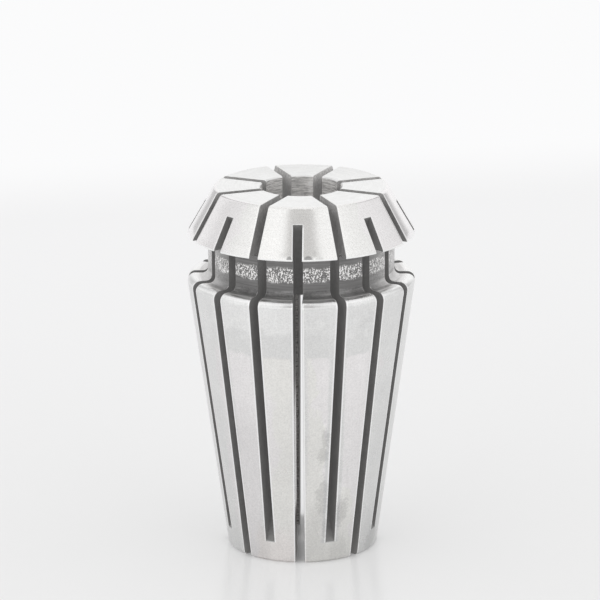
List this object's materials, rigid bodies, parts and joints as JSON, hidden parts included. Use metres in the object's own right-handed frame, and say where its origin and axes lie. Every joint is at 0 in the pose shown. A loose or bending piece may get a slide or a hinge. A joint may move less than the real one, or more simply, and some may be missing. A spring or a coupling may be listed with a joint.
{
  "type": "er spring collet",
  "caption": "Slotted steel spring collet with a long tapered seat, an extraction groove, a short nose cone and a round bore for a tool shank.",
  "frame": {"origin": "centre of the foot, the small end face, on the collet's axis", "axes": "+Z along the axis from the foot to the nose; -Y out through the middle of a slot that opens at the foot"},
  "size_m": [0.0168, 0.0168, 0.0275],
  "materials": {
    "ground_steel": "ground and turned bright steel"
  },
  "bodies": {
    "root": {"collet": "ground_steel"}
  },
  "joints": []
}
